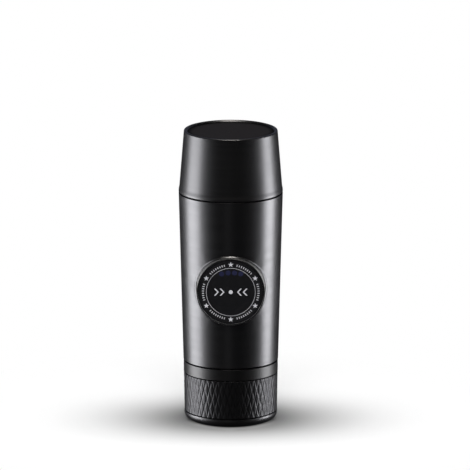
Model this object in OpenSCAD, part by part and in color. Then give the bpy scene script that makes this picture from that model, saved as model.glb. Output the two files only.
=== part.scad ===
// Portable capsule espresso maker, as it is stored: cup over the top, pump button locked in.
// Millimetres, Z up, front towards -Y, origin on the floor under the axis.

/* [Outer shape] */
// Height of the tank unit, from the floor to the lower seam
tank_h = 41.6; // [39:0.1:46]
// Height of the main body between the two seams
body_h = 115.6; // [103:0.1:125]
// Height of the cup above the upper seam
cup_h = 42.4; // [42:0.1:52]
// Diameter at the upper seam, the widest place
mid_d = 70; // [69:0.5:76]
// Diameter of the body at the lower seam
low_d = 63.8; // [62.7:0.1:66]
// Diameter at the top edge of the cup
top_d = 62.9; // [61:0.1:67]
// Diameter of the tank's plain band
tank_d = 63.5; // [62:0.1:66]
// Diameter at the foot of the knurled grip
grip_low_d = 63; // [61:0.1:65]
// Width of the dark groove at each seam
seam_gap = 0.8; // [0.4:0.1:1.2]
// Wall of the body sleeve
shell_t = 1.6; // [1.2:0.1:1.8]

/* [Cup] */
// Height of the straight band at the mouth of the cup
cup_band_h = 0.8; // [0.4:0.1:5]
// Height of the shoulder from the band to the tapering wall
cup_bend_h = 3.2; // [1:0.1:6]
// How far the band stands out past the tapering wall
cup_step = 0.25; // [0:0.05:0.6]
// Wall of the metal cup
cup_wall = 1.2; // [0.9:0.1:1.5]
// Wall of the liner above its seat
liner_wall = 2; // [1.6:0.1:2.6]
// Height of the collar that the cup sits on
collar_h = 6; // [5:0.5:8]
// Width of the rim round the recessed disc
cup_rim_w = 2.4; // [1.8:0.1:3.5]
// How far the rim's inner face leans in towards the disc
cup_rim_lean = 1; // [0:0.1:1.4]
// Rounding of the rim
cup_rim_r = 0.8; // [0.4:0.1:1]
// Thickness of the recessed disc
cup_disc_t = 1.4; // [1:0.1:2]
// Thickness of the liner's floor
liner_floor_t = 2; // [1.5:0.1:3]

/* [Button and pump] */
// Gap between the button's well and the chamber frame above it
well_gap = 4.9; // [2.6:0.1:6]
// Diameter of the button
button_d = 46; // [45.6:0.2:49]
// Width of the step round the button's hole in the sleeve
hole_step_w = 1.3; // [0.6:0.1:2]
// Depth of that step under the sleeve's skin
hole_step_t = 0.5; // [0.2:0.05:0.8]
// How far the button stands proud of the sleeve
button_proud = 1.8; // [1:0.1:4]
// Length of the button's skirt
skirt_l = 33; // [32:0.5:34]
// Wall of the button's skirt
skirt_wall = 1.8; // [1.4:0.1:2.4]
// Rounding of the button's front edge
button_edge = 0.5; // [0.3:0.1:1.2]
// Diameter of the printed front disc
face_d = 43.4; // [42:0.2:45]
// Thickness of the front disc
face_t = 1.4; // [1:0.1:2]
// Width of the groove round the front disc
face_groove = 0.5; // [0.4:0.1:1.2]
// Travel of the pump
stroke = 18; // [14:0.5:19]
// Turn that unlocks the button, in degrees
twist = 40; // [20:1:50]
// Bore of the pump
pump_bore_d = 10; // [9:0.2:11]
// Wall of the pump cylinder
pump_wall = 2; // [1.6:0.1:2.2]
// Diameter of the plunger rod
rod_d = 7.2; // [6:0.2:8]
// Wall of the well that guides the button
well_wall = 2.4; // [2:0.1:2.8]
// Thickness of the well's floor
well_floor_t = 3.5; // [3:0.1:4]
// Wire of the return spring
spring_wire = 1.5; // [1.2:0.1:1.7]
// Mean diameter of the return spring
spring_d = 25; // [23:0.5:28]
// Turns of the return spring
spring_turns = 7; // [5:1:8]

/* [Valves] */
// Bore of the valve block
valve_bore_d = 6.4; // [6:0.1:6.8]
// Diameter of each valve ball
ball_d = 4.8; // [4.6:0.1:5]
// Opening in each valve seat
seat_d = 3.2; // [2.6:0.1:3.6]
// Wire of the valve springs
valve_wire = 0.5; // [0.4:0.05:0.6]
// Turns of each valve spring
valve_turns = 5; // [4:1:6]

/* [Brewing] */
// Bore of the capsule chamber
chamber_d = 34; // [33.5:0.1:34.6]
// Bore of the neck that takes the capsule's rim
rim_bore_d = 38.4; // [38:0.1:39]
// Outside of the neck at the root of its thread
neck_d = 44.8; // [44:0.1:45.6]
// Height of the neck above the upper seam
neck_h = 13; // [12:0.5:15]
// Thickness of the chamber's floor
chamber_floor_t = 8; // [7.5:0.1:9]
// Depth of the chamber frame below the upper seam
chamber_depth = 33; // [32:0.1:33.4]
// Wall of the outlet head
head_wall = 3; // [2.5:0.1:3.4]
// Thickness of the outlet head's top
head_top_t = 3.8; // [3.4:0.1:5]
// Height of the spout above the outlet head
spout_h = 10; // [6:0.5:12]
// Bore of the spout
spout_bore_d = 6.4; // [5:0.2:7]
// Grip ribs round the outlet head
head_ribs = 24; // [12:1:30]

/* [Tank] */
// Height of the plain band above the grip
band_h = 7.7; // [6:0.1:9]
// Height of the rounded base
base_h = 6.6; // [6:0.1:7.5]
// Rounding of the base
base_r = 5; // [3:0.1:5.2]
// Width of the line above and below the grip
line_gap = 0.4; // [0.3:0.1:0.8]
// Wall of the water tank
tank_wall = 1.8; // [1.4:0.1:2.2]
// Wall of the band and the grip
grip_wall = 2.6; // [2.4:0.1:2.8]
// Outside of the tank's neck at the root of its thread
tank_neck_d = 51.2; // [50:0.1:51.4]
// Depth of the socket that takes the tank's neck
socket_h = 9.6; // [9:0.1:11]
// Diamonds round the knurled grip
knurl_count = 52; // [36:1:60]
// Diamonds up the grip
knurl_rows = 2; // [1:1:4]
// Height of the knurl's points
knurl_h = 0.5; // [0.2:0.1:0.7]

/* [Threads and fits] */
// Rise for each turn of both threads
lead = 4; // [3.8:0.1:4.4]
// Height of the threads
thread_h = 0.9; // [0.6:0.1:0.9]
// Free space over each thread's crest
thread_gap = 0.35; // [0.3:0.05:0.4]
// Clearance of parts fitted in the sleeve
fit_gap = 0.15; // [0.1:0.05:0.3]
// Clearance of pressed and plugged parts
plug_gap = 0.05; // [0.03:0.01:0.1]
// Clearance of sliding parts
slide_gap = 0.3; // [0.2:0.05:0.4]
// Running clearance of the plunger
run_gap = 0.06; // [0.04:0.01:0.1]

/* [Hidden] */
$fn = 96;
low_r = low_d / 2;
mid_r = mid_d / 2;
top_r = top_d / 2;
tank_r = tank_d / 2;
grip_low_r = grip_low_d / 2;
z_low = tank_h;
z_high = tank_h + body_h;
z_top = z_high + cup_h;
half_gap = seam_gap / 2;
over = 1;
bury = 0.3;
edge = 0.2;

// sleeve: outside, bore and the parts fitted in it, at a height
function body_r(z) = low_r + (mid_r - low_r) * (z - z_low) / body_h;
function bore_r(z) = body_r(z) - shell_t;
function frame_r(z) = bore_r(z) - fit_gap;
shell_z0 = z_low + half_gap;
shell_z1 = z_high - half_gap;

// pump, measured along its axis from the middle of the body towards the front
button_r = button_d / 2;
hole_r = button_r + slide_gap;
well_r = button_r + slide_gap;
chamber_z0 = z_high - chamber_depth;
z_pump = chamber_z0 - well_gap - well_r;
front = body_r(z_pump) + button_proud;
face_sink = 0.2;
face_depth = face_t + face_sink;
plate_t = 2.2;
plate_in = front - face_depth - plate_t;
skirt_end = front - skirt_l;
skirt_clear = 2.5;
floor_front = skirt_end - skirt_clear;
floor_back = floor_front - well_floor_t;
lug_h = 1.1;
lug_l = 2;
lug_a = 24;
lug_play = 2;
boss_r = 7.5;
boss_l = 6;
boss_end = plate_in - boss_l;
screw_head_r = 4;
screw_head_h = 2.4;
screw_r = 2;
screw_sink = 0.2;
screw_seat_t = 2;
screw_floor = front - face_depth - screw_head_h - screw_sink;
plunger_top = screw_floor - screw_seat_t;
bore = pump_bore_d / 2;
cyl_r = bore + pump_wall;
cyl_flange_w = 2.5;
cyl_flange_r = cyl_r + cyl_flange_w;
cyl_flange_t = 2;
cyl_behind = 1.5;
cyl_end_t = 2;
cyl_end = floor_back - cyl_behind;
cyl_back = cyl_end - cyl_end_t;
boss_clear = 5.5;
cyl_mouth = boss_end - boss_clear;
spigot_r = 3.4;
spigot_l = 4;
tip_gap = 0.5;
plunger_tip = cyl_end + tip_gap;
head_l = 9;
ring_in = 4;
ring_at = plunger_tip + ring_in;
plunger_ring = 0.62;
ring_slack = 0.02;
spigot_groove = 0.95;
spigot_ring = spigot_groove / 2 - ring_slack;
spring_r = spring_d / 2;
spring_wire_r = spring_wire / 2;

// valve block behind the pump
block_r = 7;
block_behind = 1.4;
block_y = -cyl_back + plug_gap + block_r + block_behind;
valve_bore = valve_bore_d / 2;
ball_r = ball_d / 2;
seat_r = seat_d / 2;
ball_up = sqrt(ball_r * ball_r - seat_r * seat_r) + plug_gap;
inlet_drop = 18;
outlet_rise = 11;
inlet_seat_z = z_pump - inlet_drop;
outlet_seat_z = z_pump + outlet_rise;
seat_t = 4;
plug_r = 5;
block_groove = 1.1;
block_ring = block_groove / 2 - ring_slack;
block_ring_z = 5;
valve_wire_r = valve_wire / 2;
valve_spring_gap = 0.9;
valve_spring_r = valve_bore - valve_wire_r - valve_spring_gap;
ball_touch = ball_r + valve_wire_r;
ball_to_wire = sqrt(ball_touch * ball_touch - valve_spring_r * valve_spring_r) + plug_gap;
cap_bore_r = 1.4;

// lower frame
bulk_t = 3;
bulk_z0 = shell_z0 + socket_h;
bulk_z1 = bulk_z0 + bulk_t;
inlet_boss_r = 8;
inlet_boss_h = 10;
filter_r = 6;
filter_t = 0.8;
filter_in = 0.4;
filter_pitch = 2.4;
filter_hole_r = 0.6;

// tank neck and its thread
tank_neck_r = tank_neck_d / 2;
tank_crest_r = tank_neck_r + thread_h;
socket_r = tank_crest_r + thread_gap;
seal_r = tank_neck_r - tank_wall / 2;
ring_r = 0.95;
ring_out = 0.6;
rim_gap = 0.1;
tank_rim_z = bulk_z0 - ring_out - rim_gap;
tank_thread_z = shell_z0 + lead / 2;
vessel_r = tank_r - grip_wall;
band_z0 = z_low - half_gap - band_h;
grip_z0 = base_h + line_gap / 2;
grip_z1 = band_z0 - line_gap;
shoulder_z = z_low - half_gap - 1;
slope_h = 2.6;
tank_z0 = base_h + 1;
tank_floor_z = tank_z0 + tank_wall;
vent_r = 1.5;
vent_in = 1.2;
vent_head_r = 4.5;
vent_head_t = 1;
vent_clip_r = 2.2;
vent_clip_t = 1.6;
vent_room_r = 6;
vent_room_h = 1.8;
vent_hole_r = 2;
base_z = 0.5;
base_step = 0.2;
base_cap_r = grip_low_r - base_step;
pad_z1 = base_z + 1;
pad_r = 23;
pad_in = 10;

// upper frame
chamber_r = chamber_d / 2;
chamber_wall = 2.8;
chamber_z1 = chamber_z0 + chamber_floor_t;
channel_z = chamber_z0 + chamber_floor_t / 2;
channel_r = 1.6;
channel_step = 0.8;
channel_in = 1;
flange_t = 4.5;
flange_z = shell_z1 - flange_t;
neck_r = neck_d / 2;
neck_crest_r = neck_r + thread_h;
neck_z = z_high + neck_h;
neck_thread_up = 5.2;
neck_thread_z = z_high + neck_thread_up;
rim_bore = rim_bore_d / 2;
ledge_in = 3;
ledge_z = neck_z - ledge_in;
mouth_wall = 1;
collar_r = mid_r - cup_step - cup_wall - mouth_wall - slide_gap;
collar_t = 2.2;
collar_in = collar_r - collar_t;
collar_z = shell_z1 + collar_h + half_gap;
collar_groove = 1.4;
collar_ring = collar_groove / 2 + plug_gap;
collar_groove_w = 2 * (collar_ring + plug_gap);
collar_lip = 2.4;
collar_groove_z = collar_z - collar_lip - collar_groove_w / 2;
outlet_boss_r = 8;
outlet_boss_h = 8;

// posts of the pump housing: lower pair inside the tank's seal, upper pair beside the chamber
post_r = 4.2;
low_post_x = 16.5;
low_post_in = 5;
low_post = [low_post_x, low_post_in - floor_back];
high_post_x = 22.6;
high_post_in = 6;
high_post = [high_post_x, high_post_in - floor_back];
web_x = 12.5;
web_w = 11;
web_h = 26;
frame_screw_r = 1.5;
frame_head_r = 2.9;
frame_head_h = 1.8;
frame_head_in = 0.4;
frame_screw_l = 10;
frame_hole_end = 1;
hex_r = 1.5;
hex_h = 1.2;

// outlet head
gasket_t = 2;
gasket_in = 0.4;
head_z = neck_z + rim_gap + gasket_t;
head_in = neck_crest_r + thread_gap;
head_r = head_in + head_wall;
head_lift = 2.8;
head_low = collar_z - collar_h + head_lift;
head_top = head_z + head_top_t;
head_well = 1;
head_lip = 2;
rib_r = 0.8;
rib_in = 2;
screen_t = 0.8;
screen_gap = 0.4;
screen_r = rim_bore - screen_gap;
screen_pitch = 5;
screen_hole_r = 0.7;
spout_wall = 2.2;
spout_r = spout_bore_d / 2 + spout_wall;
spout_flange_w = 2;
spout_flange_t = 1.6;

// cup
cup_z0 = z_high + half_gap;
cup_z1 = cup_z0 + cup_band_h;
cup_bend_z = cup_z1 + cup_bend_h;
cup_slope = (mid_r - cup_step - top_r) / (z_top - cup_z1);
function eased(share) = share * share * (3 - 2 * share);
function cup_taper(z) = top_r + cup_slope * (z_top - z);
function cup_r(z) = z < cup_z1 ? mid_r : z > cup_bend_z ? cup_taper(z)
  : mid_r - (mid_r - cup_taper(z)) * eased((z - cup_z1) / cup_bend_h);
cup_bend_steps = 6;
mouth_r = collar_r + slide_gap - plug_gap;
cup_seat_z = collar_z + rim_gap;
disc_z1 = z_top - cup_wall - plug_gap;
disc_z0 = disc_z1 - cup_disc_t;
liner_z1 = disc_z0 - plug_gap;
liner_z0 = liner_z1 - liner_floor_t;
dimple_r = 2.6;
dimple_up = 2.2;

// capsule basket and what it stands on
needle_plate_t = 2;
plate_z1 = chamber_z1 + needle_plate_t;
basket_gasket_t = 3.6;
basket_z0 = plate_z1 + basket_gasket_t + plug_gap;
basket_r = chamber_r - slide_gap;
basket_wall = 1.4;
basket_taper = 2.6;
basket_taper_h = 8;
basket_foot_w = 6;
basket_gasket_w = 5.6;
basket_flange_t = 1.5;
needle_r = 1;
needle_h = 8;
needle_tip_h = 3;
needle_tip_r = 0.15;
needle_at = 5;
plate_well_r = 8.5;
plate_well_t = 1;
plate_hole_at = 7;
plate_hole_r = 0.6;

// Helpers

module on_pump() translate([0, 0, z_pump]) rotate([90, 0, 0]) children();
module disc(z0, z1, r) translate([0, 0, z0]) cylinder(r = r, h = z1 - z0);
module ring(z0, z1, r0, r1) rotate_extrude() translate([r0, z0]) square([r1 - r0, z1 - z0]);
module o_ring(r, z, wire_r) translate([0, 0, z]) rotate_extrude() translate([r, 0]) circle(r = wire_r);
module pair(p) for (s = [-1, 1]) translate([s * p[0], p[1], 0]) children();

// Rib of trapezoid section wound along a helix: base buried in the wall, crest towards the other part
function helix_point(r, z, a) = [r * cos(a), r * sin(a), z + lead * a / 360];
module thread_rib(r_base, r_crest, z0, turns) {
  per_turn = 36;
  n = floor(turns * per_turn);
  w_crest = lead * 0.22;
  w_base = w_crest + abs(r_crest - r_base);
  s = r_crest > r_base ? 1 : -1;
  section = [[r_base, -s * w_base / 2], [r_crest, -s * w_crest / 2],
    [r_crest, s * w_crest / 2], [r_base, s * w_base / 2]];
  points = [for (i = [0:n], p = section) helix_point(p[0], z0 + p[1], i * 360 / per_turn)];
  sides = [for (i = [0:n - 1], j = [0:3]) let (a = i * 4 + j, b = i * 4 + (j + 1) % 4)
    each [[a, b, b + 4], [a, b + 4, a + 4]]];
  last = n * 4;
  caps = [[2, 1, 0], [3, 2, 0], [last, last + 1, last + 2], [last, last + 2, last + 3]];
  polyhedron(points, concat(sides, caps));
}

// Coil spring along Z as one tube of six sides and eight rings a turn
module coil(r, wire_r, z0, z1, turns) {
  rings = turns * 8;
  pitch = (z1 - z0 - 2 * wire_r) / turns;
  echo(coil_gap = pitch - 2 * wire_r);
  points = [for (i = [0:rings], k = [0:5]) let (a = i * 45, b = k * 60)
    [(r + wire_r * cos(b)) * cos(a), (r + wire_r * cos(b)) * sin(a),
     z0 + wire_r + pitch * i / 8 + wire_r * sin(b)]];
  sides = [for (i = [0:rings - 1], k = [0:5]) let (a = i * 6 + k, b = i * 6 + (k + 1) % 6)
    each [[a, b, b + 6], [a, b + 6, a + 6]]];
  first = [for (k = [0:5]) 5 - k];
  end = [for (k = [0:5]) rings * 6 + k];
  polyhedron(points, concat(sides, [first, end]));
}

// Cup

module cup_shell() color([0.07, 0.07, 0.075]) rotate_extrude() difference() {
  union() {
    polygon(concat([[cup_r(cup_bend_z) - cup_wall, cup_z0], [mid_r - edge, cup_z0], [mid_r, cup_z0 + edge]],
      [for (i = [0:cup_bend_steps]) let (z = cup_z1 + cup_bend_h * i / cup_bend_steps) [cup_r(z), z]],
      [[cup_r(z_top - cup_rim_r), z_top - cup_rim_r], [top_r - cup_rim_r, z_top],
      [top_r - cup_rim_w + cup_rim_lean, z_top], [top_r - cup_rim_w, disc_z1],
      [cup_r(disc_z1) - cup_wall, disc_z1], [cup_r(cup_bend_z) - cup_wall, cup_bend_z]]));
    translate([cup_r(z_top - cup_rim_r) - cup_rim_r, z_top - cup_rim_r]) circle(r = cup_rim_r);
  }
  polygon([[0, disc_z1], [cup_r(disc_z1) - cup_wall, disc_z1], [cup_r(cup_bend_z) - cup_wall, cup_bend_z],
    [cup_r(cup_bend_z) - cup_wall, cup_z0 - over], [0, cup_z0 - over]]);
}

module cup_liner() color([0.16, 0.16, 0.17]) rotate_extrude() polygon([
  [mouth_r, cup_z0 + edge], [cup_r(cup_bend_z) - cup_wall - plug_gap, cup_z0 + edge],
  [cup_r(cup_bend_z) - cup_wall - plug_gap, cup_bend_z], [cup_r(liner_z1) - cup_wall - plug_gap, liner_z1],
  [0, liner_z1], [0, liner_z0], [cup_r(liner_z0) - cup_wall - liner_wall, liner_z0],
  [cup_r(cup_seat_z) - cup_wall - liner_wall, cup_seat_z], [mouth_r, cup_seat_z]]);

module cup_base_disc() color([0.15, 0.14, 0.14]) difference() {
  disc(disc_z0, disc_z1, cup_r(disc_z1) - cup_wall - plug_gap);
  translate([0, 0, disc_z1 + dimple_up]) sphere(r = dimple_r);
}

// Outlet head

module outlet_head() color([0.1, 0.1, 0.105]) difference() {
  union() {
    ring(head_low, head_z, head_in, head_r);
    disc(head_z, head_top, head_r);
    thread_rib(head_in + bury, neck_r + thread_gap, neck_thread_z + lead / 2, 1);
    for (i = [0:head_ribs - 1]) rotate(i * 360 / head_ribs) translate([head_r, 0, head_low + rib_in])
      cylinder(r = rib_r, h = head_top - head_low - 2 * rib_in, $fn = 24);
  }
  disc(head_z - over, head_z + head_well, screen_r - head_lip);
  disc(head_z, head_top + over, spout_r + plug_gap);
}

module outlet_screen() color([0.7, 0.7, 0.7]) difference() {
  disc(head_z - screen_t, head_z, screen_r);
  for (row = [0:2], i = [0:max(1, row * 6) - 1]) rotate(i * 360 / max(1, row * 6))
    translate([row * screen_pitch, 0, head_z - screen_t - over])
      cylinder(r = screen_hole_r, h = screen_t + 2 * over, $fn = 24);
}

module spout() color([0.1, 0.1, 0.105]) difference() {
  union() {
    disc(head_z + head_well, head_top + spout_h, spout_r);
    disc(head_top, head_top + spout_flange_t, spout_r + spout_flange_w);
  }
  disc(head_z, head_top + spout_h + over, spout_bore_d / 2);
}

module head_gasket() color([0.75, 0.73, 0.7])
  ring(neck_z + rim_gap, head_z, rim_bore + gasket_in, neck_r - gasket_in);

// Body sleeve and upper frame

module body_shell() color([0.07, 0.07, 0.075]) difference() {
  rotate_extrude() polygon([[bore_r(shell_z0), shell_z0], [body_r(shell_z0) - edge, shell_z0],
    [body_r(shell_z0 + edge), shell_z0 + edge], [body_r(shell_z1 - edge), shell_z1 - edge],
    [body_r(shell_z1) - edge, shell_z1], [bore_r(shell_z1), shell_z1]]);
  on_pump() cylinder(r = hole_r, h = mid_d);
  // step round the button's hole, evenly deep under the skin
  intersection() {
    on_pump() cylinder(r = hole_r + hole_step_w, h = mid_d);
    rotate_extrude() polygon([[body_r(shell_z0) - hole_step_t, shell_z0], [mid_d, shell_z0],
      [mid_d, shell_z1], [body_r(shell_z1) - hole_step_t, shell_z1]]);
  }
}

module brew_chamber() color([0.12, 0.12, 0.125]) difference() {
  union() {
    rotate_extrude() polygon([[0, chamber_z0], [chamber_r + chamber_wall, chamber_z0],
      [chamber_r + chamber_wall, flange_z], [frame_r(flange_z), flange_z],
      [frame_r(shell_z1), shell_z1], [collar_r, shell_z1], [collar_r, collar_z], [collar_in, collar_z],
      [collar_in, shell_z1], [neck_r, shell_z1], [neck_r, neck_z], [rim_bore, neck_z], [rim_bore, ledge_z],
      [chamber_r, ledge_z], [chamber_r, chamber_z1], [0, chamber_z1]]);
    translate([0, block_y, chamber_z0 - outlet_boss_h])
      cylinder(r = outlet_boss_r, h = outlet_boss_h + chamber_floor_t);
    thread_rib(neck_r - bury, neck_crest_r, neck_thread_z, 1.25);
  }
  ring(collar_groove_z - collar_groove_w / 2, collar_groove_z + collar_groove_w / 2,
    collar_r - collar_groove, collar_r + over);
  translate([0, block_y, chamber_z0 - outlet_boss_h - over])
    cylinder(r = plug_r + plug_gap, h = outlet_boss_h + over);
  translate([0, block_y, chamber_z0 - over]) cylinder(r = channel_r, h = channel_z - chamber_z0 + over);
  disc(channel_z, chamber_z1 + over, channel_r);
  translate([0, 0, channel_z]) rotate([-90, 0, 0])
    cylinder(r = channel_r, h = block_y + outlet_boss_r + over);
  translate([0, block_y + channel_r + channel_in, channel_z]) rotate([-90, 0, 0])
    cylinder(r = channel_r + channel_step, h = outlet_boss_r);
  pair(high_post) {
    translate([0, 0, flange_z - over]) cylinder(r = frame_screw_r + slide_gap, h = flange_t + 2 * over);
    translate([0, 0, shell_z1 - frame_head_h - frame_head_in])
      cylinder(r = frame_head_r + slide_gap, h = frame_head_h + over);
  }
}

module channel_plug() color([0.72, 0.58, 0.3])
  translate([0, block_y + channel_r + channel_in + plug_gap, channel_z]) rotate([-90, 0, 0])
    cylinder(r = channel_r + channel_step - plug_gap, h = outlet_boss_r - channel_r - 2 * channel_in);

module cup_seal() color([0.05, 0.05, 0.05])
  o_ring(collar_r - collar_groove + collar_ring + ring_slack, collar_groove_z, collar_ring);

module capsule_basket() color([0.75, 0.75, 0.75]) rotate_extrude() polygon([
  [basket_r - basket_taper - basket_foot_w, basket_z0], [basket_r - basket_taper, basket_z0],
  [basket_r, basket_z0 + basket_taper_h], [basket_r, ledge_z], [rim_bore - slide_gap, ledge_z],
  [rim_bore - slide_gap, ledge_z + basket_flange_t], [basket_r - basket_wall, ledge_z + basket_flange_t],
  [basket_r - basket_wall, basket_z0 + basket_taper_h + basket_wall / 2],
  [basket_r - basket_taper - basket_wall, basket_z0 + basket_wall],
  [basket_r - basket_taper - basket_foot_w, basket_z0 + basket_wall]]);

module basket_gasket() color([0.75, 0.73, 0.7])
  ring(plate_z1, plate_z1 + basket_gasket_t, basket_r - basket_gasket_w, basket_r);

module needle_plate() color([0.7, 0.7, 0.7]) difference() {
  union() {
    disc(chamber_z1, plate_z1, basket_r);
    for (i = [0:2]) rotate(i * 120 + 90) translate([needle_at, 0, plate_z1]) {
      translate([0, 0, -bury]) cylinder(r = needle_r, h = needle_h - needle_tip_h + bury, $fn = 24);
      translate([0, 0, needle_h - needle_tip_h])
        cylinder(r1 = needle_r, r2 = needle_tip_r, h = needle_tip_h, $fn = 24);
    }
  }
  disc(chamber_z1 - over, chamber_z1 + plate_well_t, plate_well_r);
  for (i = [0:5]) rotate(i * 60) translate([plate_hole_at, 0, chamber_z1])
    cylinder(r = plate_hole_r, h = needle_plate_t + over, $fn = 24);
}

// Pump

module pump_housing() color([0.14, 0.14, 0.145]) difference() {
  union() {
    intersection() {
      on_pump() translate([0, 0, floor_back]) cylinder(r = well_r + well_wall, h = front - floor_back);
      rotate_extrude() polygon([[0, bulk_z1], [frame_r(bulk_z1), bulk_z1],
        [frame_r(chamber_z0), chamber_z0], [0, chamber_z0]]);
    }
    pair(low_post) disc(bulk_z1, z_pump, post_r);
    pair(high_post) disc(z_pump, flange_z, post_r);
    for (s = [0, 1]) mirror([s, 0, 0]) translate([web_x, -floor_back - over, z_pump - web_h / 2])
      cube([web_w, high_post[1] + floor_back + over, web_h]);
  }
  on_pump() translate([0, 0, floor_front]) cylinder(r = well_r, h = mid_d);
  on_pump() translate([0, 0, floor_back - over]) cylinder(r = cyl_r + plug_gap, h = well_floor_t + 2 * over);
  // grooves that the button's lugs run and turn in
  on_pump() for (a = [90, 270]) rotate(a - lug_a / 2 - lug_play) translate([0, 0, floor_front])
    rotate_extrude(angle = lug_a + twist + 2 * lug_play) translate([well_r - over, 0])
      square([lug_h + over + slide_gap, stroke + lug_l + skirt_end - floor_front + slide_gap]);
  pair(low_post) translate([0, 0, bulk_z1 - over])
    cylinder(r = frame_screw_r + plug_gap, h = frame_screw_l + over);
  pair(high_post) translate([0, 0, flange_z - frame_screw_l])
    cylinder(r = frame_screw_r + plug_gap, h = frame_screw_l + over);
}

module pump_cylinder() color([0.78, 0.78, 0.8]) on_pump() difference() {
  union() {
    disc(cyl_back, cyl_mouth, cyl_r);
    disc(floor_front, floor_front + cyl_flange_t, cyl_flange_r);
    disc(cyl_back - spigot_l, cyl_back + bury, spigot_r);
  }
  disc(cyl_end, cyl_mouth + over, bore);
  disc(cyl_back - spigot_l - over, cyl_end + over, channel_r);
  ring(cyl_back - spigot_l / 2 - spigot_groove / 2, cyl_back - spigot_l / 2 + spigot_groove / 2,
    spigot_r - spigot_groove, spigot_r + over);
}

module cylinder_seal() color([0.05, 0.05, 0.05])
  on_pump() o_ring(spigot_r - spigot_groove + spigot_ring + ring_slack, cyl_back - spigot_l / 2, spigot_ring);

module return_spring() color([0.7, 0.7, 0.72])
  on_pump() coil(spring_r, spring_wire_r, floor_front + plug_gap, plate_in - plug_gap, spring_turns);

module plunger() color([0.85, 0.85, 0.83]) on_pump() difference() {
  union() {
    disc(plunger_tip, plunger_tip + head_l, bore - run_gap);
    disc(plunger_tip, plunger_top, rod_d / 2);
    disc(boss_end, plunger_top, bore);
  }
  ring(ring_at - plunger_ring - plug_gap, ring_at + plunger_ring + plug_gap,
    bore - run_gap - 2 * plunger_ring, bore + over);
  disc(plunger_top - frame_screw_l, plunger_top + over, screw_r + plug_gap);
}

module plunger_seal() color([0.05, 0.05, 0.05]) on_pump()
  o_ring(bore - run_gap / 2 - plunger_ring, ring_at, plunger_ring);

module plunger_screw() color([0.7, 0.7, 0.7]) on_pump() difference() {
  union() {
    disc(screw_floor + rim_gap, screw_floor + rim_gap + screw_head_h, screw_head_r);
    disc(plunger_top - frame_screw_l + tip_gap, screw_floor + rim_gap + bury, screw_r);
  }
  translate([0, 0, screw_floor + rim_gap + screw_head_h - hex_h])
    cylinder(r = hex_r, h = hex_h + over, $fn = 6);
}

// Button

module button_cap() color([0.05, 0.05, 0.055]) on_pump() difference() {
  union() {
    rotate_extrude() difference() {
      union() {
        translate([0, skirt_end]) square([button_r, skirt_l - button_edge]);
        translate([0, skirt_end]) square([button_r - button_edge, skirt_l]);
        translate([button_r - button_edge, front - button_edge]) circle(r = button_edge);
      }
      translate([0, skirt_end - over]) square([button_r - skirt_wall, plate_in - skirt_end + over]);
    }
    disc(boss_end, plate_in + bury, boss_r);
    for (a = [90, 270]) rotate(a - lug_a / 2) translate([0, 0, skirt_end]) rotate_extrude(angle = lug_a)
      translate([button_r - bury, 0]) square([lug_h + bury, lug_l]);
  }
  disc(front - face_depth, front + over, face_d / 2 + face_groove);
  disc(screw_floor, front, screw_head_r + slide_gap);
  disc(plunger_top - over, front, screw_r + slide_gap);
  disc(boss_end - over, plunger_top + rim_gap, bore + slide_gap);
}

module button_face() color([0.03, 0.03, 0.035])
  on_pump() disc(front - face_depth, front - face_depth + face_t, face_d / 2);

// Valves

module valve_block() color([0.8, 0.8, 0.78]) difference() {
  union() {
    translate([0, block_y, 0]) {
      disc(bulk_z1 + inlet_boss_h, chamber_z0 - outlet_boss_h, block_r);
      disc(bulk_z1, chamber_z0, plug_r);
    }
    on_pump() disc(-block_y, cyl_back - plug_gap, block_r);
  }
  translate([0, block_y, 0]) {
    disc(bulk_z1 - over, inlet_seat_z + over, seat_r);
    disc(inlet_seat_z, chamber_z0 + over, valve_bore);
    for (z = [bulk_z1 + block_ring_z, chamber_z0 - block_ring_z])
      ring(z - block_groove / 2, z + block_groove / 2, plug_r - block_groove, plug_r + over);
  }
  on_pump() disc(-block_y, cyl_back + over, channel_r);
  on_pump() disc(cyl_back - spigot_l - slide_gap, cyl_back + over, spigot_r + plug_gap);
}

module valve_block_seals() color([0.05, 0.05, 0.05]) translate([0, block_y, 0])
  for (z = [bulk_z1 + block_ring_z, chamber_z0 - block_ring_z])
    o_ring(plug_r - block_groove + block_ring + ring_slack, z, block_ring);

module outlet_seat() color([0.72, 0.58, 0.3]) translate([0, block_y, 0]) difference() {
  disc(outlet_seat_z - seat_t, outlet_seat_z, valve_bore - plug_gap);
  disc(outlet_seat_z - seat_t - over, outlet_seat_z + over, seat_r);
}

module valve_cap() color([0.72, 0.58, 0.3]) translate([0, block_y, 0]) difference() {
  disc(chamber_z0 - seat_t, chamber_z0, valve_bore - plug_gap);
  disc(chamber_z0 - seat_t - over, chamber_z0 + over, cap_bore_r);
}

module valve_ball(z) translate([0, block_y, z + ball_up]) sphere(r = ball_r, $fn = 48);
module inlet_ball() color([0.8, 0.8, 0.82]) valve_ball(inlet_seat_z);
module outlet_ball() color([0.8, 0.8, 0.82]) valve_ball(outlet_seat_z);

module valve_spring(z, z_end) translate([0, block_y, 0])
  coil(valve_spring_r, valve_wire_r, z + ball_up + ball_to_wire - valve_wire_r,
    z_end - plug_gap, valve_turns);
module inlet_spring() color([0.7, 0.7, 0.72]) valve_spring(inlet_seat_z, outlet_seat_z - seat_t);
module outlet_spring() color([0.7, 0.7, 0.72]) valve_spring(outlet_seat_z, chamber_z0 - seat_t);

// Lower frame

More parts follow.
